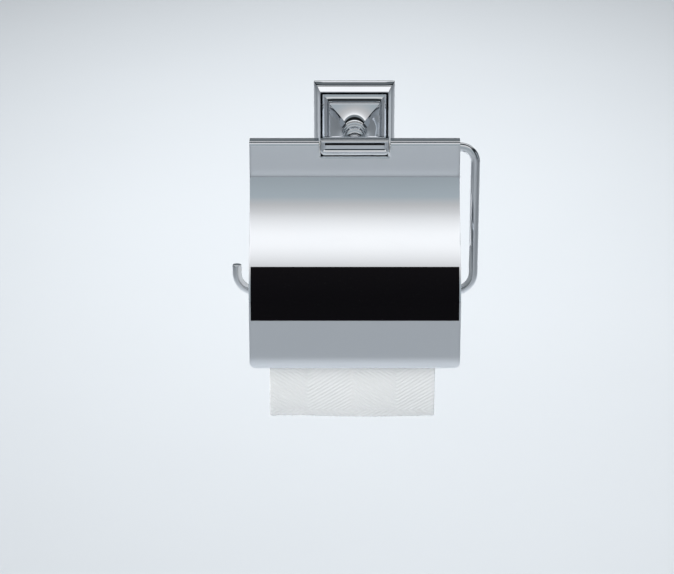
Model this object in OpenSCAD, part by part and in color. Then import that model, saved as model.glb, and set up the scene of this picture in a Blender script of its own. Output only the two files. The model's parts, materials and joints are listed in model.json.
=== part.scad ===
// Covered toilet paper holder: a square wall rosette, a turned neck with a moulded head block,
// an open wire arm, a hinged S-curved lid and a partly used roll of paper.
// X runs along the arm, Z is up and the wall is the plane Y = 0, so the holder lies on the -Y side.
// "Depth" below is the distance out from the wall, so a depth d is the plane Y = -d.

/* [Rosette] */
// Width of the square rosette at the wall
base_w = 50; // [48:0.5:54]
// Width of the raised frame at its outer edge
frame_w = 45.4; // [44:0.2:47]
// Depth where the raised frame starts
frame_d = 6.6; // [6:0.1:8]
// Depth of the frame's crest
crest_d = 13; // [12:0.1:14]
// Width of the square edge where the flare starts
flare_w = 30.9; // [28:0.1:32]
// Depth of the square edge where the flare starts
flare_d = 19.6; // [18.5:0.1:21]

/* [Neck and head] */
// Radius of the turned collar
collar_r = 8.1; // [7.8:0.1:9]
// Depth where the collar starts
collar_d = 31; // [30:0.2:32]
// Radius of the neck between its rings
neck_r = 5.2; // [4.8:0.1:6]
// Width of the head block
head_w = 41.4; // [40:0.2:44]
// Height of the head block
head_h = 8.2; // [8:0.1:8.6]
// Depth of the head block's front
head_front = 58.5; // [58.3:0.1:58.8]
// Thickness of the moulded plaque on the head block
plaque_t = 2.3; // [2.2:0.1:2.6]

/* [Arm] */
// Radius of the arm's rod
rod_r = 2.8; // [2.6:0.05:2.8]
// Distance of the arm's axis from the wall
arm_d = 53; // [52.9:0.05:53.1]
// Height of the arm's upper section, which is also the lid's hinge axis
arm_z = -1.6; // [-1.8:0.1:-1.4]
// Height of the bar that carries the roll
bar_z = -94.3; // [-100:0.5:-93]
// Distance of the arm's leg from the middle
leg_x = 72.8; // [72:0.2:76]
// Distance of the hook's tip from the middle
hook_x = 72; // [71:0.2:75]
// Height of the hook's tip
hook_tip_z = -77; // [-79:0.5:-75]
// Bend radius at the top of the leg
bend_top_r = 9.4; // [8:0.2:10]
// Bend radius at both ends of the bar
bend_bar_r = 11.8; // [10:0.2:12]

/* [Lid] */
// Width of the lid
lid_w = 126.6; // [122:0.2:130]
// Thickness of the lid's sheet
sheet_t = 1.0; // [0.8:0.1:1.0]
// Distance of the lid's top and face from the hinge axis
hood_r = 4.5; // [4.5:0.05:4.6]
// Depth of the lid's back wall
hood_back_d = 46.5; // [46:0.1:47]
// Outer radius of the bend between the lid's top and its face
hood_front_r = 2.4; // [1.4:0.1:2.6]
// Outer radius of the bend between the lid's top and its back wall
hood_back_r = 3; // [1.6:0.1:3.2]
// How far the lid bulges out between its top and its front
lid_bulge = 42; // [40:0.5:44]
// Height of the S-curve from its start to its end
lid_s_h = 80; // [78:0.5:84]
// Height where the S-curve starts
lid_s_z = -12; // [-14:0.2:-10]
// Height of the lid's bottom edge
lid_bottom_z = -127; // [-132:0.5:-125]
// Corner radius at the lid's bottom edge
lid_corner_r = 4; // [2:0.5:6]
// Height of the black band's upper edge
band_top_z = -64.6; // [-66:0.2:-62]
// Height of the black band's lower edge
band_bottom_z = -95.5; // [-98:0.2:-92]
// Thickness of the black band
band_t = 0.25; // [0.2:0.05:0.4]
// How far the band stays clear of the lid's side edges
band_inset = 1; // [0:0.1:2]
// Play between the head block and the lid's notch on each side
notch_gap = 0.8; // [0.7:0.1:1.2]
// Height of the notch's lower edge
notch_z = -6.4; // [-6.6:0.05:-6.4]

/* [Paper] */
// Width of the paper
paper_w = 100; // [96:0.5:102]
// Radius of the roll of paper
paper_r = 40; // [34:0.5:41]
// Inner radius of the cardboard core
core_r = 20; // [18:0.5:21]
// Thickness of the cardboard core
core_t = 1.2; // [0.8:0.1:1.6]
// Middle of the paper along the arm
paper_x = -1.5; // [-4:0.5:2]
// Height of the tail's lower edge
tail_z = -163.4; // [-170:0.2:-150]
// Thickness of the hanging tail
tail_t = 0.6; // [0.4:0.1:0.8]

/* [Fixings] */
// Spacing of the two wall screws
wall_screw_gap = 24; // [22:0.5:26]
// Radius of the wall screw holes
wall_hole_r = 2.25; // [2:0.05:2.5]
// Radius of the stud through the neck
stud_r = 3; // [2.5:0.1:3]
// Radius of the two grub screws
grub_r = 1.5; // [1.2:0.1:1.6]

/* [Hidden] */
eps = 0.01;

// Rosette
frame_crest_w = frame_w - 3.6;
cove_w = frame_crest_w - 3;
base_front_w = frame_w + 1;
rosette_wall = 3.2;
cavity_w = frame_w - 2 * rosette_wall;
cavity_d = 8;
gasket_t = 0.8;
grub_d = 4.4;
grub_len = 5.6;
grub_sink = 0.8;

// Wall plate, stud and nut
plate_w = 36;
plate_t = 3;
nut_across = 10;
nut_t = 4;
stud_start = 0.5;
stud_end = 50;

// Neck
flare_end_r = collar_r - 1.4;
groove_r = collar_r - 1.8;
ring_r = collar_r - 0.9;
waist_r = neck_r - 1.1;
neck_d = collar_d + 5.2;

// Head block
plaque_back = head_front - plaque_t;
block_back = 49.4;
hub_r = 4.7;
edge_r = 1.5;
corner_r = 2.4;
frame_lip = 1.0;
pocket_d = 1.1;
panel_h = 2.6;

// Hinge
play = 0.05;
bore_r = rod_r + play;
face_d = arm_d + hood_r;
top_z = arm_z + hood_r;
plug_r = hood_r - sheet_t - play;
plug_len = 12;
plug_inset = 0.6;
washer_t = 0.5;
washer_r = rod_r + 0.55;
cap_t = 1;
cap_r = rod_r + 0.6;
stub_x = -lid_w / 2 + cap_t + 3 * play;
inner_x = head_w / 2 + notch_gap + plug_inset;
outer_x = -stub_x - play - plug_len;

// Lid
hood_back_z = -4.5;
notch_reach = 2;
lip_r = 25;
lip_turn = 20;
front_d = face_d + lid_bulge;
lip_z = lid_bottom_z + lip_r * sin(lip_turn);
bumper_x = 40;
bumper_r = 4;
bumper_t = 1.4;

// Roll of paper
roll_z = bar_z + rod_r + play - core_r;
core_out = core_r + core_t;
paper_x0 = paper_x - paper_w / 2;
tail_gap = 0.1;

// ---------------------------------------------------------------- helpers

// Carries a shape drawn in the XY plane as (depth, height) to the world and gives it a width along X.
module along_x(x0, x1) {
    translate([x0, 0, 0])
        rotate([90, 0, 90])
            mirror([1, 0, 0])
                linear_extrude(height = x1 - x0)
                    children();
}

// A round bar along X.
module bar_x(x0, x1, r, d, z, fn = 48) {
    translate([x0, -d, z])
        rotate([0, 90, 0])
            cylinder(h = x1 - x0, r = r, $fn = fn);
}

// A round bar along the depth, from depth d0 to depth d1.
module bar_d(d0, d1, r, x = 0, z = 0, fn = 48) {
    translate([x, -d0, z])
        rotate([90, 0, 0])
            cylinder(h = d1 - d0, r = r, $fn = fn);
}

// A turned piece about the depth axis, from a list of [radius, depth] points.
module turned(profile) {
    rotate([90, 0, 0])
        rotate_extrude($fn = 64)
            polygon(profile);
}

// A block centred on the depth axis.
module slab(w, h, d0, d1) {
    translate([-w / 2, -d1, -h / 2])
        cube([w, d1 - d0, h]);
}

// A square moulding with mitred corners: two crossed extrusions of one [half width, depth] outline.
module mitred(outline, w) {
    both = concat(outline, [for (i = [len(outline) - 1:-1:0]) [-outline[i][0], outline[i][1]]]);
    intersection() {
        translate([0, 0, -w])
            linear_extrude(height = 2 * w)
                mirror([0, 1, 0]) polygon(both);
        translate([-w, 0, 0])
            rotate([90, 0, 90])
                linear_extrude(height = 2 * w)
                    rotate([0, 0, 90]) polygon(both);
    }
}

// Points on an arc in the (depth, height) plane.
function arc(c, r, a0, a1, n) =
    [for (i = [0:n]) let (a = a0 + (a1 - a0) * i / n) [c[0] + r * cos(a), c[1] + r * sin(a)]];

// The S-curve swells from 0 to 1 as u goes from 0 to 1, and starts and ends without a kink.
function swell(u) = u * u * u * (10 - 15 * u + 6 * u * u);
function swell_rate(u) = 30 * u * u * (1 - u) * (1 - u);

// Points on the S-curve, moved inwards by t, square to the curve.
function s_curve(t, n) =
    [for (i = [1:n]) let (u = i / n, along = lid_bulge * swell_rate(u), reach = norm([lid_s_h, along]))
        [face_d + lid_bulge * swell(u) - t * lid_s_h / reach, lid_s_z - lid_s_h * u - t * along / reach]];

// The lid's section, offset by t inwards from its outer face, from the back wall to the bottom edge.
function lid_line(t) = concat(
    [[hood_back_d + t, hood_back_z]],
    arc([hood_back_d + hood_back_r, top_z - hood_back_r], hood_back_r - t, 180, 90, 12),
    arc([face_d - hood_front_r, top_z - hood_front_r], hood_front_r - t, 90, 0, 12),
    s_curve(t, 40),
    arc([front_d - lip_r, lip_z], lip_r - t, 0, -lip_turn, 6));

function reversed(list) = [for (i = [len(list) - 1:-1:0]) list[i]];

// Sheet section between two offsets from the lid's outer face.
module lid_section(t0, t1) {
    polygon(concat(lid_line(t0), reversed(lid_line(t1))));
}

// ---------------------------------------------------------------- wall fixing

module wall_plate() {
    color("lightslategray")
        difference() {
            slab(plate_w, plate_w, 0, plate_t);
            for (side = [-1, 1])
                bar_d(-1, plate_t + 1, wall_hole_r, side * wall_screw_gap / 2);
            bar_d(-1, plate_t + 1, stud_r);
        }
}

module wall_gasket() {
    color("dimgray")
        difference() {
            slab(base_w - 1, base_w - 1, 0, gasket_t);
            slab(cavity_w, cavity_w, -1, gasket_t + 1);
        }
}

module neck_stud() {
    color("gray")
        bar_d(stud_start, stud_end, stud_r);
}

module stud_nut() {
    color("darkgray")
        difference() {
            translate([0, -plate_t, 0])
                rotate([90, 0, 0])
                    cylinder(h = nut_t, r = nut_across / 2 / cos(30), $fn = 6);
            bar_d(plate_t - 1, plate_t + nut_t + 1, stud_r);
        }
}

// ---------------------------------------------------------------- rosette

module rosette() {
    cove = [for (i = [0:8]) let (a = 90 * i / 8)
        [flare_w / 2 + (cove_w - flare_w) / 2 * (1 - sin(a)),
         crest_d + (flare_d - crest_d) * (1 - cos(a))]];
    outline = concat(
        [[base_w / 2, gasket_t], [base_w / 2, 2.5], [base_front_w / 2, frame_d - 0.6],
         [frame_w / 2, frame_d], [frame_crest_w / 2 + 0.3, crest_d - 0.2],
         [frame_crest_w / 2 - 0.3, crest_d + 0.2], [cove_w / 2 + 0.4, crest_d]],
        cove);
    color("silver")
        difference() {
            mitred(outline, base_w);
            slab(cavity_w, cavity_w, 0, cavity_d);
            bar_d(0, flare_d + 1, stud_r);
            translate([0, -grub_d, -base_w])
                cylinder(h = base_w, r = grub_r, $fn = 32);
        }
}

module rosette_grub_screw() {
    color("dimgray")
        difference() {
            translate([0, -grub_d, -base_w / 2 + grub_sink])
                cylinder(h = grub_len, r = grub_r, $fn = 32);
            translate([0, -grub_d, -base_w / 2 + grub_sink - 0.1])
                cylinder(h = grub_r, r = 0.8, $fn = 6);
        }
}

// The flare runs from a square to a circle on a concave sweep: ring k mixes the two outlines.
module flare() {
    rings = 12;
    sides = 64;
    half = flare_w / 2 - 0.4;
    span = collar_d - flare_d;
    function square_r(a) = half / max(abs(cos(a)), abs(sin(a)));
    function sweep_r(a, s) = let (k = pow(1 - s, 2.6))
        flare_end_r + (square_r(a) - flare_end_r) * k;
    points = [for (k = [0:rings]) for (i = [0:sides - 1])
        let (s = k / rings, a = 360 * i / sides, r = sweep_r(a, s))
        [r * cos(a), -(flare_d + span * s), r * sin(a)]];
    skin = [for (k = [0:rings - 1]) for (i = [0:sides - 1])
        let (a = k * sides + i, b = k * sides + (i + 1) % sides)
        each [[a, b + sides, b], [a, a + sides, b + sides]]];
    hub = len(points);
    near = [for (i = [0:sides - 1]) [i, (i + 1) % sides, hub]];
    far = [for (i = [0:sides - 1]) [rings * sides + (i + 1) % sides, rings * sides + i, hub + 1]];
    ends = [[0, -flare_d, 0], [0, -collar_d, 0]];
    color("silver")
        difference() {
            polyhedron(concat(points, ends), concat(skin, near, far));
            bar_d(flare_d - 1, collar_d + 1, stud_r);
        }
}

// ---------------------------------------------------------------- neck and head

module collar() {
    color("silver")
        turned([[stud_r, collar_d], [flare_end_r, collar_d], [collar_r - 0.4, collar_d + 0.4],
            [collar_r, collar_d + 1.2], [collar_r - 0.4, collar_d + 2], [groove_r + 0.2, collar_d + 2.4],
            [groove_r, collar_d + 3], [ring_r, collar_d + 3.6], [ring_r, collar_d + 4.6],
            [groove_r, neck_d], [stud_r, neck_d]]);
}

module neck() {
    color("silver")
        turned([[stud_r, neck_d], [neck_r, neck_d], [neck_r - 0.4, neck_d + 2.6], [neck_r, neck_d + 5.2],
            [neck_r + 1.3, neck_d + 5.6], [neck_r + 1.6, neck_d + 6.4], [neck_r + 1.3, neck_d + 7.2],
            [neck_r, neck_d + 7.6], [waist_r, neck_d + 9], [waist_r, block_back], [stud_r, block_back]]);
}

module head_block() {
    color("silver")
        difference() {
            union() {
                slab(head_w, head_h, block_back, plaque_back);
                intersection() {
                    bar_x(-head_w / 2, head_w / 2, hub_r, arm_d, arm_z);
                    slab(head_w + 1, 3 * head_h, block_back, plaque_back);
                }
            }
            bar_x(-head_w, head_w, rod_r, arm_d, arm_z);
            bar_d(block_back - 1, arm_d - rod_r + 0.4, stud_r);
            translate([head_w / 4, -arm_d, arm_z - 2 * hub_r])
                cylinder(h = 2 * hub_r, r = grub_r, $fn = 32);
        }
}

// A frame with rounded lower corners, a sunk bevel and a raised bar across it.
module head_plaque() {
    hw = head_w / 2;
    hh = head_h / 2;
    side = concat([[plaque_back, -hh]],
        arc([head_front - edge_r, -hh + edge_r], edge_r, -90, 0, 6),
        arc([head_front - edge_r, hh - edge_r], edge_r, 0, 90, 6), [[plaque_back, hh]]);
    bed = head_front - pocket_d;
    pocket = [[head_front + eps, -hh + frame_lip], [bed, -hh + frame_lip + pocket_d],
        [bed, hh - frame_lip - pocket_d], [head_front + eps, hh - frame_lip]];
    bar = [[bed - eps, -panel_h / 2 - 0.6], [head_front - 0.2, -panel_h / 2 + 0.2],
        [head_front - 0.2, panel_h / 2 - 0.4], [bed - eps, panel_h / 2 + 0.4]];
    color("silver")
        difference() {
            intersection() {
                along_x(-hw, hw)
                    polygon(side);
                translate([0, -plaque_back, 0])
                    rotate([90, 0, 0])
                        linear_extrude(height = plaque_t)
                            hull() {
                                for (s = [-1, 1])
                                    translate([s * (hw - corner_r), -hh + corner_r])
                                        circle(r = corner_r, $fn = 32);
                                translate([-hw, 0]) square([head_w, hh]);
                            }
            }
            difference() {
                along_x(-hw + frame_lip, hw - frame_lip)
                    polygon(pocket);
                along_x(-hw, hw)
                    polygon(bar);
            }
        }
}

// ---------------------------------------------------------------- arm

// A quarter bend of the rod in the plane of the arm, turned about the depth axis by a.
module bend(x, z, r, a) {
    translate([x, -arm_d, z])
        rotate([90, 0, 0])
            rotate([0, 0, a])
                rotate_extrude(angle = 90, $fn = 64)
                    translate([r, 0])
                        circle(r = rod_r, $fn = 32);
}

module post_z(x, z0, z1) {
    translate([x, -arm_d, z0])
        cylinder(h = z1 - z0, r = rod_r, $fn = 48);
}

module arm() {
    color("silver")
        union() {
            bar_x(stub_x, leg_x - bend_top_r, rod_r, arm_d, arm_z);
            bend(leg_x - bend_top_r, arm_z - bend_top_r, bend_top_r, 0);
            post_z(leg_x, bar_z + bend_bar_r, arm_z - bend_top_r);
            bend(leg_x - bend_bar_r, bar_z + bend_bar_r, bend_bar_r, -90);
            bar_x(-hook_x + bend_bar_r, leg_x - bend_bar_r, rod_r, arm_d, bar_z);
            bend(-hook_x + bend_bar_r, bar_z + bend_bar_r, bend_bar_r, 180);
            post_z(-hook_x, bar_z + bend_bar_r, hook_tip_z);
        }
}

module arm_grub_screw() {
    color("dimgray")
        difference() {
            translate([head_w / 4, -arm_d, arm_z - hub_r + 0.1])
                cylinder(h = hub_r - rod_r - 0.15, r = grub_r, $fn = 32);
            translate([head_w / 4, -arm_d, arm_z - hub_r])
                cylinder(h = 1, r = 0.7, $fn = 6);
        }
}

module arm_end_cap() {
    color("whitesmoke")
        bar_x(stub_x - cap_t, stub_x, cap_r, arm_d, arm_z);
}

module thrust_washer(side) {
    near = side > 0 ? head_w / 2 : -head_w / 2 - washer_t;
    color("whitesmoke")
        difference() {
            bar_x(near, near + washer_t, washer_r, arm_d, arm_z);
            bar_x(near - 1, near + washer_t + 1, rod_r, arm_d, arm_z);
        }
}

// ---------------------------------------------------------------- lid

module notch() {
    half = head_w / 2 + notch_gap;
    translate([-half, -face_d - notch_reach, notch_z])
        cube([2 * half, face_d - hood_back_d + 2 * notch_reach, top_z - notch_z + notch_reach]);
}

// Rounds the two bottom corners: what is left outside two discs and the cross between them.
module lid_corners() {
    half = lid_w / 2;
    for (s = [-1, 1])
        translate([s * (half - lid_corner_r), 0, lid_bottom_z + lid_corner_r])
            difference() {
                translate([s > 0 ? 0 : -2 * lid_corner_r, -front_d - 2, -2 * lid_corner_r])
                    cube([2 * lid_corner_r, 12, 2 * lid_corner_r]);
                rotate([90, 0, 0])
                    cylinder(h = 4 * front_d, r = lid_corner_r, center = true, $fn = 48);
            }
}

module lid_sheet() {
    color("gainsboro")
        difference() {
            along_x(-lid_w / 2, lid_w / 2)
                lid_section(0, sheet_t);
            notch();
            lid_corners();
        }
}

// A strip of the lid's section that stands proud of its face by t.
module lid_strip(x0, x1, z0, z1, t) {
    intersection() {
        along_x(x0, x1)
            lid_section(-t, 0);
        translate([-lid_w, -front_d - 2, z0])
            cube([2 * lid_w, lid_bulge, z1 - z0]);
    }
}

module lid_band() {
    color("black")
        lid_strip(-lid_w / 2 + band_inset, lid_w / 2 - band_inset, band_bottom_z, band_top_z, band_t);
}

module hinge_plug(x0) {
    color("ivory")
        difference() {
            bar_x(x0, x0 + plug_len, plug_r, arm_d, arm_z);
            bar_x(x0 - 1, x0 + plug_len + 1, bore_r, arm_d, arm_z);
        }
}

module lid_bumpers() {
    color("gainsboro")
        for (s = [-1, 1])
            bar_d(front_d - sheet_t - bumper_t, front_d - sheet_t, bumper_r,
                s * bumper_x, lip_z + 1.5 * bumper_r);
}

// ---------------------------------------------------------------- paper

module core_tube() {
    color("tan")
        difference() {
            bar_x(paper_x0, paper_x0 + paper_w, core_out, arm_d, roll_z, 96);
            bar_x(paper_x0 - 1, paper_x0 + paper_w + 1, core_r, arm_d, roll_z, 96);
        }
}

module paper_roll() {
    color("white")
        difference() {
            bar_x(paper_x0, paper_x0 + paper_w, paper_r, arm_d, roll_z, 96);
            bar_x(paper_x0 - 1, paper_x0 + paper_w + 1, core_out, arm_d, roll_z, 96);
        }
}

module paper_tail() {
    color("white")
        translate([paper_x0, -arm_d - paper_r - tail_gap - tail_t, tail_z])
            cube([paper_w, tail_t, roll_z - tail_z]);
}

// ---------------------------------------------------------------- nodes

wall_plate();
wall_gasket();
rosette();
rosette_grub_screw();
flare();
collar();
neck();
neck_stud();
stud_nut();
head_block();
head_plaque();
arm();
arm_grub_screw();
arm_end_cap();
thrust_washer(-1);  // thrust_washer_left
thrust_washer(1);  // thrust_washer_right
lid_sheet();
lid_band();
hinge_plug(-outer_x - plug_len);  // hinge_plug_left_outer
hinge_plug(-inner_x - plug_len);  // hinge_plug_left_inner
hinge_plug(inner_x);  // hinge_plug_right_inner
hinge_plug(outer_x);  // hinge_plug_right_outer
lid_bumpers();
core_tube();
paper_roll();
paper_tail();
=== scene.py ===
# %% [markdown]
# # A covered toilet paper holder
# A square chrome rosette sits on the wall. A flared neck carries a small moulded block, the block
# carries a bent wire arm, and a hinged S-curved cover hangs over the roll on the arm. The frame of
# sizes and joints is already packed, so this lesson makes the surfaces and finishes around it.

# %% Load the frame
import bpy
import json
import math
import numpy as np
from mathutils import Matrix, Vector

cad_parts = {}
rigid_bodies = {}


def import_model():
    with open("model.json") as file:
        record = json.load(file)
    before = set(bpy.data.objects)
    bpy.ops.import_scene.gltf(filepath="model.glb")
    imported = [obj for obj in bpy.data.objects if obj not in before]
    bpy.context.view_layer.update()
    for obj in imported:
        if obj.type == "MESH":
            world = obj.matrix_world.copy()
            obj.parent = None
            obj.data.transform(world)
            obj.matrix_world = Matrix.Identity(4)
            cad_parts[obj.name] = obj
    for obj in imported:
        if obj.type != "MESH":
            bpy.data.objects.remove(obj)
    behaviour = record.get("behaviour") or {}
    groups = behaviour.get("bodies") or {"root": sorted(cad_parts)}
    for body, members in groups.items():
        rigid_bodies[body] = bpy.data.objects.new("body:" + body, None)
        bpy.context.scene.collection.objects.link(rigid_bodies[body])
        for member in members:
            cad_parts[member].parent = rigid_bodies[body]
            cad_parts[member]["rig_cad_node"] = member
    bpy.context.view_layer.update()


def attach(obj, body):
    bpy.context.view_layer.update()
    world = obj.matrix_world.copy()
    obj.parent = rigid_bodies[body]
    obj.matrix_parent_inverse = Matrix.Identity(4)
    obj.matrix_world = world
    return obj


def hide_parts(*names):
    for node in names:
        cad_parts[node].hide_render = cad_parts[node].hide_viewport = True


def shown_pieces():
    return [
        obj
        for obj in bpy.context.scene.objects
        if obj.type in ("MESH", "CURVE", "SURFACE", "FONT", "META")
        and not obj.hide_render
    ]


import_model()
MM = 0.001

# %% [markdown]
# ## Camera
# The holder is seen from a little above with a long lens, which keeps the verticals nearly upright.
# The camera comes first, because it shows which surfaces need the finest work.

# %% Camera
VIEW_DOWN = math.radians(21)
camera = bpy.data.objects.new("camera", bpy.data.cameras.new("camera"))
camera.data.lens = 129.2
camera.data.sensor_width = 36
camera.location = (-0.0107, -1.4422, 0.4415)
camera.rotation_euler = (math.pi / 2 - VIEW_DOWN, 0, 0)
bpy.context.scene.collection.objects.link(camera)
bpy.context.scene.camera = camera
print("camera:", tuple(round(v, 3) for v in camera.location))

# %% [markdown]
# ## Shader sums
# A finish is mostly arithmetic on positions. `Wire` wraps one output of a node, so that an ordinary
# Python expression such as `1 - wear * 0.5` adds the Math nodes by itself. `node` adds any other
# node: its settings first, then its inputs, which may be numbers, colours or other wires.

# %% Shader helpers
class Wire:
    """One node output. Operators on it add Math nodes to the same tree."""

    def __init__(self, tree, socket):
        self.tree, self.socket = tree, socket

    def maths(self, operation, *terms):
        return node(self.tree, "ShaderNodeMath", {"operation": operation}, dict(enumerate(terms)))

    def __add__(self, other):
        return self.maths("ADD", self, other)

    def __sub__(self, other):
        return self.maths("SUBTRACT", self, other)

    def __rsub__(self, other):
        return self.maths("SUBTRACT", other, self)

    def __mul__(self, other):
        return self.maths("MULTIPLY", self, other)

    def __truediv__(self, other):
        return self.maths("DIVIDE", self, other)

    def __neg__(self):
        return self * -1

    def __abs__(self):
        return self.maths("ABSOLUTE", self)

    __radd__ = __add__
    __rmul__ = __mul__


def node(tree, kind, settings=None, inputs=None, out=0):
    """Adds a node: settings are its own fields (or "ramp", a list of stops), inputs its sockets."""
    made = tree.nodes.new(kind)
    for key, value in (settings or {}).items():
        if key == "ramp":
            stops = made.color_ramp.elements
            while len(stops) < len(value):
                stops.new(1.0)
            for stop, (place, colour) in zip(stops, value):
                stop.position, stop.color = place, (*colour, 1)
        else:
            setattr(made, key, value)
    for key, value in (inputs or {}).items():
        if isinstance(value, Wire):
            tree.links.new(value.socket, made.inputs[key])
        else:
            made.inputs[key].default_value = value
    return Wire(tree, made.outputs[out])


def spot(tree):
    """The place on the piece, in metres."""
    return node(tree, "ShaderNodeTexCoord", out="Object")


def axes(tree, vector):
    """The three parts of a vector, each as a wire."""
    split = node(tree, "ShaderNodeSeparateXYZ", None, {0: vector})
    return [Wire(tree, s) for s in split.socket.node.outputs]


def stretched(tree, vector, scale):
    """The vector with each part multiplied, which draws a noise out into lines."""
    return node(tree, "ShaderNodeVectorMath", {"operation": "MULTIPLY"}, {0: vector, 1: scale})


def noise(tree, vector, scale, detail=3.0, rough=0.5):
    """Cloudy noise from 0 to 1."""
    return node(tree, "ShaderNodeTexNoise", None,
                {"Vector": vector, "Scale": scale, "Detail": detail, "Roughness": rough})


def window(tree, value, low, high, at_low=0.0, at_high=1.0):
    """Smooth step: at_low below low, at_high above high."""
    return node(tree, "ShaderNodeMapRange", {"interpolation_type": "SMOOTHSTEP"},
                {0: value, 1: low, 2: high, 3: at_low, 4: at_high})


def blend_colours(tree, amount, first, second):
    """A colour between first and second."""
    first, second = [c if isinstance(c, Wire) else (*c, 1) for c in (first, second)]
    return node(tree, "ShaderNodeMix", {"data_type": "RGBA"}, {0: amount, 6: first, 7: second}, out=2)


def bump(tree, height, depth, strength=1.0):
    """Tilts the light over a relief whose height runs from 0 to 1 over depth metres."""
    return node(tree, "ShaderNodeBump", None, {"Height": height, "Distance": depth, "Strength": strength})


def finish_of(name, recipe):
    """A material whose recipe returns the Principled shader's sockets and their values."""
    material = bpy.data.materials.new(name)
    material.use_nodes = True
    tree = material.node_tree
    shader = tree.nodes["Principled BSDF"]
    for key, value in recipe(tree).items():
        if isinstance(value, Wire):
            tree.links.new(value.socket, shader.inputs[key])
        else:
            shader.inputs[key].default_value = value
    print("finish", name, "with", len(tree.nodes), "nodes")
    return material


# %% [markdown]
# ## Chrome
# Polished chrome shows what stands around it, so its own detail is very quiet: faint wipe marks that
# dull the mirror here and there, and polishing lines far finer than a hair. Two recipes are enough.
# The small castings are polished to a mirror, and the cover's sheet keeps a softer, rolled surface.
# The rosette and the plaque get the same mirror, with painted shade in the groove: nearly black for its dark
# reflection.

# %% Chrome finishes
def painted_groove_shade(tree, colour, recess):
    """The colour, with painted shade inside the recess: nearly black where the mask is 1."""
    return blend_colours(tree, recess(tree), colour, (0.012, 0.014, 0.017)) if recess else colour


def groove_shade_mask(tree):
    """1 in the rosette's groove, where its shade is painted: where the larger of |x| and |z| is near 20.2 mm.
    """
    x, y, z = axes(tree, spot(tree))
    edge = abs(x).maths("MAXIMUM", abs(x), abs(z))
    return window(tree, abs(edge - 0.0202), 0.00052, 0.00066, 1.0, 0.0) * window(tree, -y, 0.0118, 0.0121)


def gutter_shade_mask(tree):
    """1 along the two long gutters of the plaque, above and below its raised bar, where their shade is
    painted.
    """
    x, y, z = axes(tree, spot(tree))
    lower = window(tree, abs(z + 0.00175), 0.0003, 0.0005, 1.0, 0.0)
    upper = window(tree, abs(z - 0.0018), 0.0006, 0.0008, 1.0, 0.0)
    return lower.maths("MAXIMUM", lower, upper) * window(tree, abs(x), 0.0178, 0.0182, 1.0, 0.0) * window(
        tree, -y, 0.0562, 0.0568)


def mirror_chrome(tree, recess=None):
    """A polished casting. Where recess is 1, the colour is painted shade: nearly black for a dark reflection.
    """
    place = spot(tree)
    cloud = noise(tree, place, 60.0, 4.0)
    wipe = window(tree, noise(tree, stretched(tree, place, (1.0, 1.0, 3.0)), 130.0, 5.0, 0.6), 0.5, 0.75)
    lines = noise(tree, stretched(tree, place, (600.0, 600.0, 9000.0)), 1.0, 2.0)
    plating = blend_colours(tree, cloud, (0.80, 0.83, 0.87), (0.88, 0.90, 0.93))
    return {
        "Base Color": painted_groove_shade(tree, plating, recess),
        "Metallic": 1.0,
        "Roughness": wipe * 0.035 + cloud * 0.02 + 0.02,
        "Normal": bump(tree, lines, 0.000004, 0.25),
    }


def sheet_chrome(tree):
    place = spot(tree)
    cloud = noise(tree, place, 22.0, 3.0)
    wipe = window(tree, noise(tree, stretched(tree, place, (0.6, 1.0, 2.0)), 45.0, 5.0, 0.62), 0.5, 0.8)
    lines = noise(tree, stretched(tree, place, (90.0, 5200.0, 5200.0)), 1.0, 2.0)
    return {
        "Base Color": blend_colours(tree, cloud, (0.855, 0.885, 0.925), (0.90, 0.92, 0.95)),
        "Metallic": 1.0,
        "Roughness": wipe * 0.03 + cloud * 0.02 + 0.06,
        "Normal": bump(tree, lines, 0.000003, 0.2),
    }


chrome = finish_of("polished_chrome", mirror_chrome)
# The rosette and the plaque carry painted shade in their groove and gutters.
rosette_chrome = finish_of("rosette_chrome", lambda tree: mirror_chrome(tree, groove_shade_mask))
plaque_chrome = finish_of("plaque_chrome", lambda tree: mirror_chrome(tree, gutter_shade_mask))
cover_chrome = finish_of("cover_chrome", sheet_chrome)

# %% [markdown]
# ## Band, fittings and paper
# The band is painted reflection: a thin black strip stands for the dark reflection across the chrome, nearly
# matt so that it stays black where the chrome beside it is white. The hidden fittings are zinc, blackened
# steel, nylon and rubber: each has its own grain. Paper scatters light, and its fibres are the finest thing
# in view.

# %% Other finishes
# Painted reflection: a nearly black, nearly matt colour for the dark reflection across the cover.
def painted_reflection_band(tree):
    place = spot(tree)
    dust = window(tree, noise(tree, place, 900.0, 2.0), 0.62, 0.75)
    haze = noise(tree, stretched(tree, place, (1.0, 3.0, 3.0)), 40.0, 4.0)
    return {
        "Base Color": blend_colours(tree, dust, (0.0042, 0.0036, 0.0046), (0.007, 0.0065, 0.0075)),
        "Roughness": haze * 0.12 + 0.3,
        "Specular IOR Level": 0.04,
        "Normal": bump(tree, noise(tree, place, 2500.0, 2.0), 0.00001, 0.2),
    }


def plated(dark, light, grain, rough, metal=1.0):
    """A recipe for a plated or moulded fitting: two shades, a grain size and a roughness."""
    def recipe(tree):
        place = spot(tree)
        cloud = noise(tree, place, grain, 4.0, 0.6)
        fine = noise(tree, place, grain * 9, 2.0)
        return {
            "Base Color": blend_colours(tree, window(tree, cloud, 0.3, 0.7), dark, light),
            "Metallic": metal,
            "Roughness": cloud * 0.18 + rough,
            "Normal": bump(tree, fine, 0.00004, 0.3),
        }
    return recipe


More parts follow.
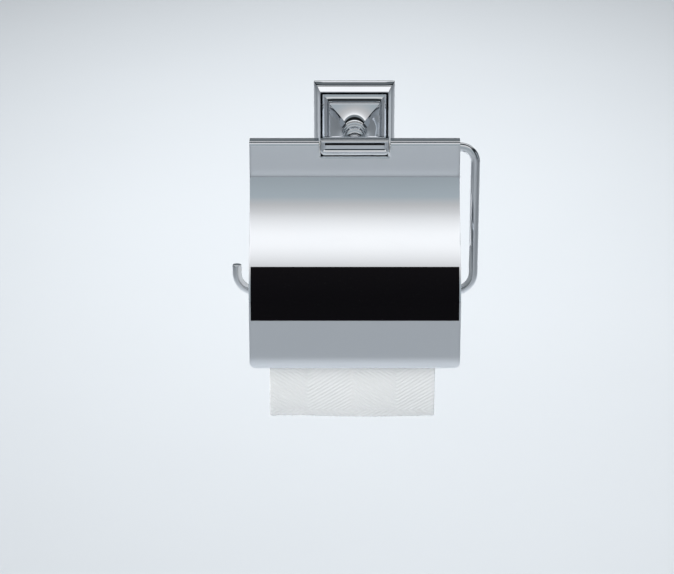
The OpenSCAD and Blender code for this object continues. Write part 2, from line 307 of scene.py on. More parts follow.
zinc = finish_of("zinc_plate", plated((0.42, 0.44, 0.47), (0.66, 0.67, 0.68), 260.0, 0.25))
dark_steel = finish_of("blackened_steel", plated((0.05, 0.05, 0.055), (0.12, 0.12, 0.125), 500.0, 0.3))
nylon = finish_of("nylon", plated((0.72, 0.71, 0.66), (0.80, 0.79, 0.75), 420.0, 0.38, 0.0))
rubber = finish_of("rubber", plated((0.035, 0.035, 0.038), (0.06, 0.06, 0.062), 700.0, 0.62, 0.0))
clear_rubber = finish_of("clear_rubber", plated((0.62, 0.65, 0.67), (0.74, 0.77, 0.78), 500.0, 0.3, 0.0))
# The band's finish is a painted reflection in black.
band_painted_dark = finish_of("band_painted_dark", painted_reflection_band)

# %% [markdown]
# ## Surfaces from grids
# Every new piece is a grid of points: one direction runs along a path or a profile, the other round
# it. `grid_faces` joins neighbouring points with quads, and `piece` turns the grid into an object,
# lets it ride on its body and hides the plain node that it stands for.

# %% Grid helpers
def grid_faces(rows, columns, round_rows=False, round_columns=False):
    """Quads between neighbours, with the last row or column joined to the first where it is round."""
    i = np.arange(rows if round_rows else rows - 1)[:, None]
    j = np.arange(columns if round_columns else columns - 1)[None, :]
    below, right = (i + 1) % rows, (j + 1) % columns
    return np.stack([i * columns + j, i * columns + right, below * columns + right, below * columns + j],
                    axis=-1).reshape(-1, 4)


def signed_volume(mesh):
    """The volume is a sixth of the sum of a . (b x c) over the triangles: positive if faces point out."""
    mesh.calc_loop_triangles()
    corners = np.empty(len(mesh.loop_triangles) * 3, int)
    mesh.loop_triangles.foreach_get("vertices", corners)
    spots = np.empty(len(mesh.vertices) * 3)
    mesh.vertices.foreach_get("co", spots)
    a, b, c = spots.reshape(-1, 3)[corners].reshape(-1, 3, 3).transpose(1, 0, 2)
    return float(np.einsum("ij,ij->i", a, np.cross(b, c)).sum() / 6)


def piece(name, points, faces, body, stands_for, material, crease=35):
    """Makes the object. The points are in millimetres, as x, depth and height."""
    points = np.asarray(points, float).reshape(-1, 3) * (MM, -MM, MM)
    mesh = bpy.data.meshes.new(name)
    mesh.from_pydata(points, [], [list(map(int, f)) for f in faces])
    mesh.polygons.foreach_set("use_smooth", np.ones(len(mesh.polygons), bool))
    mesh.set_sharp_from_angle(angle=math.radians(crease))
    mesh.materials.append(material)
    mesh.validate()
    made = bpy.data.objects.new(name, mesh)
    bpy.context.scene.collection.objects.link(made)
    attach(made, body)
    if stands_for:
        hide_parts(*stands_for)
    volume = signed_volume(mesh)
    if volume < 0:
        mesh.flip_normals()
    print(f"{name}: {len(mesh.polygons)} faces")
    return made


def rounded(outline, cut, steps=5, closed=True):
    """Each corner of the outline becomes a curve that starts and ends cut before it: a quadratic
    Bezier curve (1-t)^2 A + 2t(1-t) P + t^2 C through the corner P, for all the corners at once."""
    p = np.asarray(outline, float)
    cut = np.broadcast_to(np.asarray(cut, float), len(p))[:, None]
    to_last, to_next = np.roll(p, 1, 0) - p, np.roll(p, -1, 0) - p
    long_last, long_next = (np.linalg.norm(v, axis=1, keepdims=True) for v in (to_last, to_next))
    a = p + to_last / long_last * np.minimum(cut, 0.45 * long_last)
    c = p + to_next / long_next * np.minimum(cut, 0.45 * long_next)
    t = np.linspace(0, 1, steps)[None, :, None]
    curve = (1 - t) ** 2 * a[:, None] + 2 * t * (1 - t) * p[:, None] + t ** 2 * c[:, None]
    if not closed:
        curve[0], curve[-1] = p[0], p[-1]
    return curve.reshape(-1, 2)


def arc(centre, radius, start, end, steps):
    """Points on an arc, with its angles in degrees."""
    a = np.radians(np.linspace(start, end, steps))
    return np.column_stack([centre[0] + radius * np.cos(a), centre[1] + radius * np.sin(a)])


# %% [markdown]
# ## Rosette
# The rosette is a cast square moulding. Its outline steps up from the wall over a raised frame and
# down a cove to a smaller square. A square ring of points carries the outline round, and the ring's
# corners are turned on a small radius, so that the mitres catch a pin of light as polished metal does.

# %% Rosette
def square_ring(half, corner, sides=10, turns=5):
    """A square of the given half width with round corners: each corner's arc, then a straight side."""
    corner = np.minimum(corner, half * 0.5)
    turn = np.radians(np.linspace(0, 90, turns))
    cx = (half - corner)[:, None]
    quarter_x = cx + corner[:, None] * np.cos(turn)
    quarter_z = cx + corner[:, None] * np.sin(turn)
    t = np.linspace(0, 1, sides + 1)[1:-1]
    side_x = quarter_x[:, -1:] * (1 - t) - quarter_x[:, -1:] * t
    side_z = quarter_z[:, -1:] + 0 * t
    x, z = np.hstack([quarter_x, side_x]), np.hstack([quarter_z, side_z])
    quarters = [(x, z), (-z, x), (-x, -z), (z, -x)]
    return np.hstack([q[0] for q in quarters]), np.hstack([q[1] for q in quarters])


def square_moulding(profile, corner):
    """Carries a closed [half width, depth] profile round a square ring."""
    half, depth = np.asarray(profile, float).T
    x, z = square_ring(half, np.broadcast_to(corner, half.shape))
    return np.stack([x, np.broadcast_to(depth[:, None], x.shape), z], axis=-1)


cove_turn = np.radians(np.linspace(0, 90, 15))
cove = np.column_stack([15.45 + 3.95 * (1 - np.sin(cove_turn)), 13 + 6.6 * (1 - np.cos(cove_turn))])
shell = [[19.5, 0.8], [25, 0.8], [25, 2.2], [23.4, 6.1], [22.8, 6.6], [21.2, 12.9], [20.9, 13.1],
         [20.5, 12.2], [19.8, 12.2], [19.5, 13.0]]
back = [[3.05, 19.6], [3.05, 8.0], [19.5, 8.0]]
soften = [0.3, 0.5, 0.6, 0.5, 0.35, 0.2, 0.15, 0.2, 0.2, 0.15]
outline = np.vstack([rounded(shell, soften, 4, closed=False), cove[:-1],
                     rounded([cove[-2], cove[-1], back[0]], [0.1, 0.35, 0.1], 4, closed=False)[4:8], back])
grid = square_moulding(outline, 0.45)
rows, columns = grid.shape[:2]
piece("rosette_moulding", grid, grid_faces(rows, columns, True, True)[:, ::-1], "mount",
      ["rosette"], rosette_chrome, crease=28)

# %% [markdown]
# ## Flare
# The flare passes from a square to a circle. Every ring is a mix of the two outlines, and the mix
# follows a steep power curve, so the sides sweep in at once and then run straight to the collar.
# The four creases on the diagonals fade out with the square.

# %% Flare
def flare_surface(rings=28, around=144):
    """Radius = end + (square - end) (1 - s)^2.6, where square = half / max(|cos|, |sin|)."""
    s = np.linspace(0, 1, rings)[:, None]
    a = np.radians(np.linspace(0, 360, around, endpoint=False))[None, :]
    square = 15.05 / np.maximum(abs(np.cos(a)), abs(np.sin(a)))
    r = 6.7 + (square - 6.7) * (1 - s) ** 2.6
    depth = np.broadcast_to(19.6 + 11.4 * s, r.shape)
    return np.stack([r * np.cos(a), depth, r * np.sin(a)], axis=-1)


outer = flare_surface()
inner = outer[[-1, 0]] * (0, 1, 0)
around = np.radians(np.linspace(0, 360, outer.shape[1], endpoint=False))
inner[..., 0], inner[..., 2] = 3.05 * np.cos(around), 3.05 * np.sin(around)
grid = np.concatenate([outer, inner])
piece("flare_sweep", grid, grid_faces(*grid.shape[:2], True, True), "mount", ["flare"], chrome, 28)

# %% [markdown]
# ## Collar and neck
# Both are turned on a lathe. A profile of radius and depth is softened at its corners and carried
# round the neck's axis. The closed profile comes back along the stud's bore, so the shell has no gap.

# %% Collar and neck
def lathe(profile, around=128):
    """Each profile point [radius, depth] becomes a circle: x = r cos a, z = r sin a."""
    r, depth = np.asarray(profile, float).T[:, :, None]
    a = np.radians(np.linspace(0, 360, around, endpoint=False))[None, :]
    return np.stack([r * np.cos(a), depth + 0 * a, r * np.sin(a)], axis=-1)


def turned_piece(name, profile, cut, node_name):
    grid = lathe(rounded(profile, cut, 6))
    faces = grid_faces(*grid.shape[:2], True, True)
    return piece(name, grid, faces, "mount", [node_name], chrome, 40)


collar_profile = [[3.02, 31], [6.7, 31], [7.7, 31.35], [8.1, 32.2], [7.7, 33.05], [6.5, 33.4],
                  [6.3, 34], [7.2, 34.45], [7.2, 35.75], [6.3, 36.2], [3.02, 36.2]]
neck_profile = [[3.02, 36.2], [5.2, 36.2], [4.8, 38.8], [5.2, 41.4], [6.5, 41.7], [6.85, 42.6],
                [6.5, 43.5], [5.2, 43.8], [4.1, 45.2], [4.1, 49.4], [3.02, 49.4]]
turned_piece("collar_rings", collar_profile, 0.45, "collar")
turned_piece("neck_turning", neck_profile, 0.5, "neck")

# %% [markdown]
# ## Head block
# The block is a bar with a rounded belly that holds the arm. Its section is carried along the arm
# and drawn up to its top edge at both ends, which leaves the lower corners round. A plain extrusion
# would end in hard edges there.

# %% Head block
def along_x(section, stations, scales):
    """A closed (depth, height) section repeated at the stations in x, each drawn up to its top edge."""
    section, scales = np.asarray(section, float), np.asarray(scales)[:, None, None]
    pin = np.array([section[:, 0].mean(), section[:, 1].max()])
    rings = pin + (section[None] - pin) * np.concatenate([0.9 + 0.1 * scales, scales], axis=-1)
    x = np.broadcast_to(np.asarray(stations, float)[:, None], rings.shape[:2])
    return np.stack([x, rings[..., 0], rings[..., 1]], axis=-1)


def closed_ends(rows, columns):
    """One flat face on the first row and one on the last."""
    return [list(range(columns))[::-1], list(range((rows - 1) * columns, rows * columns))]


ROD_D, ROD_Z, ROD_R = 53.0, -1.6, 2.8
HEAD_HALF_X, HEAD_HALF_Z, HEAD_BACK, HEAD_FRONT = 20.7, 4.1, 49.4, 56.2
belly = arc((ROD_D, ROD_Z), 4.7, -47, -140, 18)
front_line = rounded([[HEAD_BACK, HEAD_HALF_Z], [HEAD_FRONT, HEAD_HALF_Z], belly[0]], [0.5, 0.1, 0.3], 5,
                     closed=False)
block_outline = np.vstack([front_line, belly[1:]])
half_ends = np.array([HEAD_HALF_X, 20.62, 20.3, 19.7, 18.9, 18.0])
drawn_up = np.array([0.66, 0.76, 0.87, 0.95, 0.99, 1.0])
grid = along_x(block_outline, np.r_[-half_ends, half_ends[::-1]], np.r_[drawn_up, drawn_up[::-1]])
rows, columns = grid.shape[:2]
faces = grid_faces(rows, columns, False, True).tolist() + closed_ends(rows, columns)
piece("head_bar", grid, faces, "mount", ["head_block"], chrome, 30)

# %% [markdown]
# ## Plaque
# The plaque is a small casting with a lip, a bed and a raised bar. It could be cut from a block with
# bevels, but its slopes differ all the way in. Nested outlines, each with its own depth, give every
# slope directly, and the outline of each is the last one shrunk a little.

# %% Plaque
def plate_ring(half_x, half_z, top, low, sides=24, turns=8):
    """A rectangle's outline with one radius on its two top corners and another on its lower ones."""
    t = np.radians(np.linspace(0, 90, turns))
    s = np.linspace(1, -1, sides)[1:-1]
    across = (half_x - top) * s
    below = -(half_x - low) * s
    x = np.concatenate([half_x - top + top * np.cos(t), across, -half_x + top - top * np.sin(t),
                        -half_x + low - low * np.cos(t), below, half_x - low + low * np.sin(t)])
    z = np.concatenate([half_z - top + top * np.sin(t), 0 * across + half_z, half_z - top + top * np.cos(t),
                        -half_z + low - low * np.sin(t), 0 * below - half_z, -half_z + low - low * np.cos(t)])
    return x, z


contours = [(HEAD_HALF_X, HEAD_HALF_Z, HEAD_FRONT), (HEAD_HALF_X, HEAD_HALF_Z, 56.9), (20.66, 4.06, 57.3),
            (20.5, 3.9, 57.75), (20.2, 3.6, 58.1), (19.85, 3.25, 58.3), (19.6, 3.0, 58.36),
            (19.45, 2.85, 58.3), (18.75, 2.12, 57.5), (18.65, 2.02, 57.42), (18.5, 1.9, 57.4),
            (18.3, 1.72, 57.42), (18.2, 1.62, 57.5), (17.75, 1.05, 58.12), (17.6, 0.92, 58.2),
            (17.3, 0.6, 58.22)]
rings = []
for half_x, half_z, depth in contours:
    shrink = HEAD_HALF_X - half_x
    x, z = plate_ring(half_x, half_z, max(0.35 - shrink * 0.1, 0.12), max(2.4 - shrink * 1.1, 0.15))
    rings.append(np.column_stack([x, np.full_like(x, depth), z]))
grid = np.array(rings)
rows, columns = grid.shape[:2]
faces = [f[::-1] for f in grid_faces(rows, columns, False, True).tolist() + closed_ends(rows, columns)]
piece("head_plaque_relief", grid, faces, "mount", ["head_plaque"], plaque_chrome, 38)

# %% [markdown]
# ## Arm
# The arm is one round rod, bent four times. Its path is a list of straights and arcs in the arm's
# plane. A circle is carried along the path, standing square to it, and the free tip is chamfered.

# %% Arm
def arm_path():
    """The axis of the rod as x and height: straight, bend, leg, bend, bar, bend and hook."""
    return np.vstack([
        [[-62.15, ROD_Z], [-62.0, ROD_Z]], np.column_stack([np.linspace(-60, 62, 30), np.full(30, ROD_Z)]),
        arc((63.4, -11.0), 9.4, 90, 0, 22),
        np.column_stack([np.full(12, 72.8), np.linspace(-15, -78, 12)]),
        arc((61.0, -82.5), 11.8, 0, -90, 24),
        np.column_stack([np.linspace(58, -57, 24), np.full(24, -94.3)]),
        arc((-60.2, -82.5), 11.8, -90, -180, 24),
        [[-72, -80.5], [-72, -78], [-72, -77.45], [-72, -77.12], [-72, -77.0]]])


def rod(path, radius, around=40):
    """Point = path + radius (cos a depth + sin a side), where side is square to the path."""
    run = np.gradient(path, axis=0)
    run /= np.linalg.norm(run, axis=1, keepdims=True)
    side = np.column_stack([-run[:, 1], run[:, 0]])[:, None]
    a = np.radians(np.linspace(0, 360, around, endpoint=False))[None, :, None]
    r = np.asarray(radius)[:, None, None]
    flat = path[:, None] + r * np.sin(a) * side
    return np.concatenate([flat[..., :1], ROD_D + r * np.cos(a), flat[..., 1:]], axis=-1)


path = arm_path()
radius = np.full(len(path), ROD_R)
radius[:1], radius[-3:] = 2.7, (2.76, 2.6, 2.3)
grid = rod(path, radius)
rows, columns = grid.shape[:2]
faces = grid_faces(rows, columns, False, True).tolist() + closed_ends(rows, columns)
piece("arm_rod", grid, faces, "mount", ["arm"], chrome, 40)

# %% [markdown]
# ## Cover
# The cover is one sheet of metal, bent in a single direction. Its section is a short back wall and a
# flat top that hood the arm, a tight bend, the long S and a small lip that turns in. An S of two arcs
# would show a kink in every reflection, so a polynomial that starts and ends flat is used instead. The
# section is carried across the width; cells are left out for the notch round the head block, the lower
# corners follow an arc, and Solidify and Bevel give it thickness and an eased edge.

# %% Cover sheet
S_TOP, S_HEIGHT, BULGE = -12.0, 80.0, 42.0
LID_HALF, CORNER, BOTTOM, NOTCH_HALF, NOTCH_Z = 63.3, 4.0, -127.0, 21.5, -6.4


def s_curve(offset, steps=90):
    """Depth = 57.5 + 42 (10 u^3 - 15 u^4 + 6 u^5), which starts and ends without a kink."""
    u = np.linspace(0, 1, steps + 1)[1:]
    swell, rate = u ** 3 * (10 - 15 * u + 6 * u * u), 30 * (u * (1 - u)) ** 2
    out = np.column_stack([np.full(steps, S_HEIGHT), BULGE * rate])
    out /= np.linalg.norm(out, axis=1, keepdims=True)
    return np.column_stack([57.5 + BULGE * swell, S_TOP - S_HEIGHT * u]) - offset * out


def cover_section(offset=0.0):
    """The cover's outer line as [depth, height], moved inwards by offset, from the roll to the lip."""
    return np.vstack([
        np.column_stack([np.full(4, 46.5 + offset), [-4.5, -4.2, -2.5, -1.0]]),
        arc((49.5, -0.1), 3 - offset, 180, 90, 16),
        arc((55.1, 0.5), 2.4 - offset, 90, 0, 18),
        np.column_stack([np.full(7, 57.5 - offset), [-0.5, -2.0, -4.0, NOTCH_Z, -8.0, -10.0, S_TOP]]),
        s_curve(offset),
        np.column_stack([np.full(8, 99.5 - offset), np.linspace(-95, -116, 8)]),
        arc((74.5, -118.45), 25 - offset, 0, -20, 16)])


def half_width(z):
    """Half the cover's width at height z: full width, then an arc at the lower corners."""
    low = np.clip(BOTTOM + CORNER - z, 0, CORNER)
    return LID_HALF - CORNER + np.sqrt(CORNER ** 2 - low ** 2)


def cover_skin(section, stations):
    """The section repeated at the stations in x, drawn in where the corners are round."""
    depth, z = section.T[:, :, None]
    x = stations[None, :] * half_width(z) / LID_HALF
    return np.stack([x, depth + 0 * x, z + 0 * x], axis=-1)


section = cover_section()   # the last steps are finer, for the round lower corners
section = np.vstack([section[:-1], arc((74.5, -118.45), 25, -18.75, -20, 9)])
section = section[np.r_[True, np.linalg.norm(np.diff(section, axis=0), axis=1) > 1e-4]]
stations = np.concatenate([np.linspace(-LID_HALF, -NOTCH_HALF, 26),
                           np.linspace(-NOTCH_HALF, NOTCH_HALF, 27)[1:-1],
                           np.linspace(NOTCH_HALF, LID_HALF, 26)])
grid = cover_skin(section, stations)
faces = grid_faces(*grid.shape[:2])
middle = grid.reshape(-1, 3)[faces].mean(axis=1)
in_notch = (abs(middle[:, 0]) < NOTCH_HALF) & (middle[:, 2] > NOTCH_Z)
cover = piece("cover_sheet", grid, faces[~in_notch], "lid", ["lid_sheet"], cover_chrome, 40)
thick = cover.modifiers.new("thickness", "SOLIDIFY")
thick.thickness, thick.offset, thick.use_even_offset = 1.0 * MM, -1, True
ease = cover.modifiers.new("eased edge", "BEVEL")
ease.width, ease.segments, ease.limit_method, ease.angle_limit = 0.22 * MM, 2, "ANGLE", math.radians(60)

# %% [markdown]
# ## Band
# The band is a thin black strip, painted reflection in place of the chrome's dark reflection, that follows
# the cover's curve and stands a quarter of a millimetre proud.
# It is the cover's own section again, moved outwards, between two heights. The metal's edge still
# shows as a bright line on both sides of it.

# %% Band
fine = cover_section(-0.25)
fine = fine[(fine[:, 1] < -60) & (fine[:, 1] > -99)]
heights = np.concatenate([[-64.6, -64.8], np.linspace(-65.5, -94.6, 40), [-95.3, -95.5]])
depths = np.interp(heights, fine[::-1, 1], fine[::-1, 0])
sides = np.array([-62.3, -62.1, *np.linspace(-60, 60, 13), 62.1, 62.3])
front = np.stack(np.broadcast_arrays(sides[None, :], depths[:, None], heights[:, None]), axis=-1).copy()
rear = front - (0, 0.24, 0)
rim = np.ones(front.shape[:2], bool)
rim[1:-1, 1:-1] = False
front[rim] -= (0, 0.06, 0)
rows, columns = front.shape[:2]
near = grid_faces(rows, columns)
far = near[:, ::-1] + rows * columns
loop = np.concatenate([np.arange(columns), np.arange(1, rows) * columns + columns - 1,
                       rows * columns - 2 - np.arange(columns - 1), (np.arange(rows - 2, 0, -1)) * columns])
edge = np.stack([loop, loop + rows * columns, np.roll(loop, -1) + rows * columns, np.roll(loop, -1)], axis=-1)
piece("cover_band", np.concatenate([front, rear]), np.concatenate([near, far, edge]), "lid",
      ["lid_band"], band_painted_dark, 40)

# %% [markdown]
# ## Paper
# Tissue is embossed with fine ribs that run in diamonds: the ribs lean one way in one diamond and
# the other way in the next. Folding both coordinates like a fan, and taking a sine of their sum,
# gives exactly that. On the hanging sheet the relief is real; on the roll it is in the finish.

# %% Paper finish
FOLD_X, FOLD_S, RIB = 53.8, 60.0, 2.1
LEAN_X, LEAN_S, FOLD_MIDDLE = 0.56, 0.83, 1.6
ROLL_D, ROLL_Z, ROLL_R = 53.0, -111.45, 40.0


def rib_relief(tree):
    """The same folded sine as on the hanging sheet, but wound: its second length is angle times radius."""
    x, y, z = axes(tree, spot(tree))
    out, up = -y / MM - ROLL_D, z / MM - ROLL_Z
    fold_x = x.maths("PINGPONG", x / MM + (500.0 + FOLD_MIDDLE), FOLD_X / 2)
    fold_s = x.maths("PINGPONG", out.maths("ARCTAN2", up, out) * ROLL_R + 500.0, FOLD_S / 2)
    wave = x.maths("SINE", (fold_x * LEAN_X + fold_s * LEAN_S) * (2 * math.pi / RIB))
    return wave * window(tree, out.maths("SQRT", out * out + up * up), 39.6, 39.8)


def paper_white(tree, ribs=None):
    fibres = noise(tree, stretched(tree, spot(tree), (2500.0, 2500.0, 900.0)), 1.0, 3.0)
    cloud = noise(tree, spot(tree), 55.0, 3.0)
    mix = fibres * 0.6 + cloud * 0.4
    return {
        "Base Color": blend_colours(tree, mix, (0.86, 0.86, 0.855), (0.93, 0.93, 0.925)),
        "Roughness": fibres * 0.1 + 0.82,
        "Specular IOR Level": 0.15,
        "Sheen Weight": 0.15,
        "Sheen Roughness": 0.6,
        "Normal": bump(tree, fibres * 0.35 + ribs(tree) * 0.5 if ribs else fibres * 0.35, 0.00012, 0.6),
    }


paper = finish_of("tissue", paper_white)
ribbed_paper = finish_of("wound_tissue", lambda tree: paper_white(tree, rib_relief))

# %% [markdown]
# ## Hanging sheet
# The last sheet leaves the roll at its front and hangs straight, but it keeps some of the roll's
# curl, so its lower edge turns in a little. Its path is the roll's own circle for the part that lies
# on the roll, and then a slowly turning line. The sheet is one piece of tissue across the whole roll.

# %% Hanging sheet
PAPER_LEFT, PAPER_RIGHT, TAIL_Z = -51.5, 48.5, -163.4


def sheet_path(step=0.47):
    """Depth and height along the sheet: the heading turns with the roll, holds straight and curls in."""
    wrap, hang = math.radians(60) * (ROLL_R + 0.3), ROLL_Z - TAIL_Z + 0.35
    s = np.arange(-wrap, hang, step)
    heading = np.where(s < 0, s / (ROLL_R + 0.3), 0.0) * -1
    heading = np.where(s > 12, -np.radians(24) * (np.clip(s - 12, 0, None) / (hang - 12)) ** 1.8, heading)
    depth = np.concatenate([[0], np.cumsum(np.sin(heading[:-1]) * step)])
    height = np.concatenate([[0], np.cumsum(-np.cos(heading[:-1]) * step)])
    at = np.searchsorted(s, 0)
    return depth - depth[at] + ROLL_D + ROLL_R + 0.3, height - height[at] + ROLL_Z, s, heading


def fan(value, period):
    """Folds a length like a fan: up over half the period and down over the other half."""
    return abs((value / period) % 1 - 0.5) * period


depth, height, run, heading = sheet_path()
x, s = np.meshgrid(np.linspace(PAPER_LEFT, PAPER_RIGHT, 214), run)
RELIEF, CLEAR, LAST_FOLD = 0.16, 0.2, 5.2
folded = fan(x + FOLD_MIDDLE, FOLD_X) * LEAN_X + fan(s - run[-1] + LAST_FOLD, FOLD_S) * LEAN_S
relief = RELIEF * np.sin(folded * 2 * math.pi / RIB)
lift = relief + CLEAR + 0.5 * np.sin(x / 15.0 + 1) * np.clip(s / 50, 0, 1) ** 2
turn = heading[:, None]
grid = np.stack([x, depth[:, None] + lift * np.cos(turn), height[:, None] + lift * np.sin(turn)], axis=-1)
tail = piece("hanging_sheet", grid, grid_faces(*grid.shape[:2]), "tail", ["paper_tail"], paper, 60)
ply = tail.modifiers.new("ply", "SOLIDIFY")
ply.thickness, ply.offset = 0.2 * MM, -1
length = (run[-1] - run[0]) * MM
print("sheet:", 100, "x", round(length / MM, 1), "mm")

# %% [markdown]
# ## Roll
# The roll is wound from hundreds of layers, which show as fine rings on its ends. The profile of the
# ring is carried round the roll's axis, with shallow grooves on both ends. Modelling the layers one by
# one would cost millions of faces for lines that are thinner than a hair.

# %% Roll
def wound(profile, around, groove=None):
    """Carries a closed [x, radius] profile round the roll's axis."""
    x, r = np.asarray(profile, float).T[:, :, None]
    a = np.radians(np.linspace(0, 360, around, endpoint=False))[None, :]
    r = r + (groove(x, a) if groove else 0 * a)
    return np.stack([x + 0 * a, ROLL_D + r * np.cos(a), ROLL_Z + r * np.sin(a)], axis=-1)


radii = np.linspace(21.4, 39.6, 92)
ripple = 0.12 * np.sin(radii * 2 * math.pi / 1.3) + 0.05 * np.sin(radii * 2.9)
right = np.column_stack([PAPER_RIGHT - 0.18 + ripple, radii])
left = np.column_stack([PAPER_LEFT + 0.18 - ripple, radii])[::-1]
skin = np.column_stack([np.linspace(PAPER_RIGHT - 0.3, PAPER_LEFT + 0.3, 40), np.full(40, ROLL_R - 0.05)])
bore = np.column_stack([np.linspace(PAPER_LEFT + 0.3, PAPER_RIGHT - 0.3, 30), np.full(30, 21.25)])
grid = wound(np.vstack([right, skin, left, bore]), 180)
piece("paper_roll_wound", grid, grid_faces(*grid.shape[:2], True, True), "roll",
      ["paper_roll"], ribbed_paper, 60)

# %% [markdown]
# ## Core
# The core is wound as well: a strip of board runs round the tube as a screw, and its seam is a thin
# groove along that screw line. The groove is part of the surface, and the finish darkens the same line.

# %% Core
TURN = 58.0


def seam(x, a):
    """A groove 0.12 mm deep along a screw line: -0.12 exp(-(distance / 0.5)^2) from angle = x / TURN."""
    off = (a / (2 * math.pi) - x / TURN) % 1.0
    return -0.12 * np.exp(-((np.minimum(off, 1 - off) * TURN / 0.5) ** 2))


ends = [PAPER_LEFT + 0.1, PAPER_RIGHT - 0.1]
outside = np.column_stack([np.linspace(ends[1] - 0.15, ends[0] + 0.15, 120), np.full(120, 21.18)])
inside = np.column_stack([np.linspace(ends[0] + 0.15, ends[1] - 0.15, 120), np.full(120, 20.16)])
rim_left, rim_right = [[ends[0], 20.9], [ends[0], 20.3]], [[ends[1], 20.3], [ends[1], 20.9]]
grid = wound(np.vstack([outside, rim_left, inside, rim_right]), 160, seam)


def board(tree):
    x, y, z = axes(tree, spot(tree))
    angle = x.maths("ARCTAN2", z - ROLL_Z * MM, -y - ROLL_D * MM)
    off = x.maths("PINGPONG", angle / (2 * math.pi) - x / (TURN * MM) + 20.0, 0.5)
    fibres = noise(tree, stretched(tree, spot(tree), (500.0, 1800.0, 1800.0)), 1.0, 4.0, 0.65)
    cloud = noise(tree, spot(tree), 120.0, 4.0)
    shade = blend_colours(tree, fibres, (0.30, 0.23, 0.155), (0.47, 0.385, 0.28))
    in_seam = window(tree, off, 0.0, 0.012, 0.75, 0.0)
    return {
        "Base Color": blend_colours(tree, in_seam, shade, (0.16, 0.12, 0.08)),
        "Roughness": cloud * 0.12 + 0.78,
        "Normal": bump(tree, fibres, 0.00008, 0.5),
    }


cardboard = finish_of("core_board", board)
piece("core_spiral", grid, grid_faces(*grid.shape[:2], True, True), "roll",
      ["core_tube"], cardboard, 50)

# %% [markdown]
# ## Fittings that stay
# The wall plate, gasket, stud, nut, screws, washers, end cap, hinge plugs and bumpers have the right
# shape already. Each only gets its finish in place of the plain one.

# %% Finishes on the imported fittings
fittings = {
    "wall_plate": zinc, "neck_stud": zinc, "stud_nut": zinc, "wall_gasket": rubber,
    "rosette_grub_screw": dark_steel, "arm_grub_screw": dark_steel, "lid_bumpers": clear_rubber,
    "arm_end_cap": nylon, "thrust_washer_left": nylon, "thrust_washer_right": nylon,
    "hinge_plug_left_outer": nylon, "hinge_plug_left_inner": nylon,
    "hinge_plug_right_inner": nylon, "hinge_plug_right_outer": nylon,
}
for made in list(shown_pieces()):
    finish = fittings.get(made.get("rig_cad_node"))
    if finish:
        made.data.materials.clear()
        made.data.materials.append(finish)
print(len(fittings), "fittings finished")

# %% [markdown]
# ## Floor
# A sweep of pale paper lies well below the holder. It is the background, and it is also what the
# upright parts of the chrome show, so its tone sets the tone of the cover's flat faces.

# %% Floor
def pale(tree):
    cloud = noise(tree, spot(tree), 3.0, 3.0)
    return {
        "Base Color": blend_colours(tree, cloud, (0.57, 0.60, 0.63), (0.59, 0.62, 0.65)),
        "Roughness": 0.9,
        "Specular IOR Level": 0.1,
    }


FLOOR_Z = -0.5
floor_mesh = bpy.data.meshes.new("floor")
floor_corners = [(x, y, FLOOR_Z) for x, y in ((-4, -4), (4, -4), (4, 5), (-4, 5))]
floor_mesh.from_pydata(floor_corners, [], [(0, 1, 2, 3)])
floor_mesh.materials.append(finish_of("floor_paper", pale))
floor = bpy.data.objects.new("floor", floor_mesh)
bpy.context.scene.collection.objects.link(floor)

# %% [markdown]
# ## Studio
# Chrome needs something pale and something dark to show. The studio is painted on the world as strips
# that run from left to right, by the angle up from the front horizon, so the curved cover shows them
# as one even gradient. Real softboxes would do it too, but each would need a place for each strip.
# The strips are set for this cover as this camera sees it; from elsewhere they fall on other parts.

# %% Studio strips
world = bpy.data.worlds.new("studio")
world.use_nodes = True
bpy.context.scene.world = world
tree = world.node_tree
x, y, z = axes(tree, spot(tree))
tilt = x.maths("ARCTAN2", z, -y) / math.pi * 0.5 + 0.5
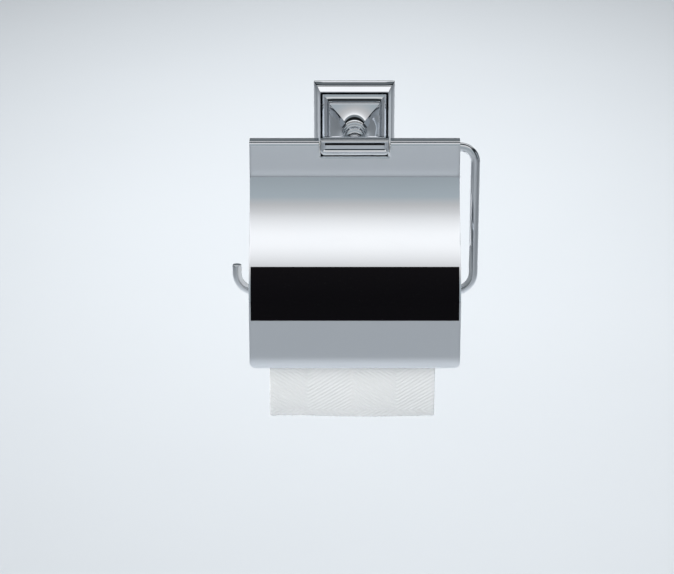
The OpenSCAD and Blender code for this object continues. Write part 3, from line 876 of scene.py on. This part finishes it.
# each strip: the angle in degrees up from the front horizon, and how bright the studio is there
STRIPS = [(-180, 0.2), (-165, 0.2), (-120, 0.05), (-24, 0.06), (-12, 0.40), (4, 0.42), (34, 0.47), (47, 0.53),
          (56, 0.66), (63, 0.85), (67, 0.97), (70, 1.1), (71, 1.1), (72.5, 0.3), (86, 0.2), (88, 0.012),
          (113, 0.012), (115, 0.16), (121, 0.16), (123, 1.15), (139, 1.0), (143, 0.16), (180, 0.2)]
COOL = (0.84, 0.94, 1.0)
ramp = [((a + 180) / 360, tuple(v * c for c in (COOL if v < 0.5 else (1, 1, 1)))) for a, v in STRIPS]
strips = node(tree, "ShaderNodeValToRGB", {"ramp": ramp}, {0: tilt})
flags = window(tree, abs(x), 0.66, 0.78) * window(tree, abs(x), 0.9, 0.97, 1.0, 0.0)
far_side = window(tree, abs(x), 0.9, 0.97)
flagged = blend_colours(tree, flags, strips, (0.02, 0.024, 0.028))
colour = blend_colours(tree, far_side, flagged, (0.24, 0.27, 0.30))
tree.links.new(colour.socket, tree.nodes["Background"].inputs["Color"])
print("world strips:", len(STRIPS))


# %% [markdown]
# ## Lamps
# Three lamps mostly light the floor, behind, in front and below, and one rakes over the tissue from
# the side to bring out its ribs. None of them shows in the chrome itself, which sees the painted strips
# and the lit floor.

# %% Lamps
def soft_lamp(name, place, target, size, spread, watts):
    """A soft lamp that mirrors don't show, whose light stays within the spread in degrees."""
    lamp = bpy.data.lights.new(name, "AREA")
    lamp.shape, (lamp.size, lamp.size_y) = "RECTANGLE", size
    lamp.spread, lamp.energy = math.radians(spread), watts
    light = bpy.data.objects.new(name, lamp)
    light.location = place
    light.rotation_euler = (Vector(target) - light.location).to_track_quat("-Z", "Y").to_euler()
    light.visible_glossy = False
    bpy.context.scene.collection.objects.link(light)


soft_lamp("side_lamp", (-1.9, -1.5, 0.35), (0, -0.1, -0.14), (0.4, 0.4), 25, 0.62)
soft_lamp("back_lamp", (0, 1.2, 1.6), (0, 1.2, FLOOR_Z), (0.8, 2.6), 80, 17)
soft_lamp("front_lamp", (0, -2.2, 1.2), (0, -2.2, FLOOR_Z), (0.8, 1.8), 100, 5.8)
soft_lamp("under_lamp", (0, -0.35, -0.1), (0, -0.35, FLOOR_Z), (0.5, 0.5), 150, 0.5)
bpy.context.scene.view_settings.view_transform = "Standard"
print("lamps placed, view transform Standard")
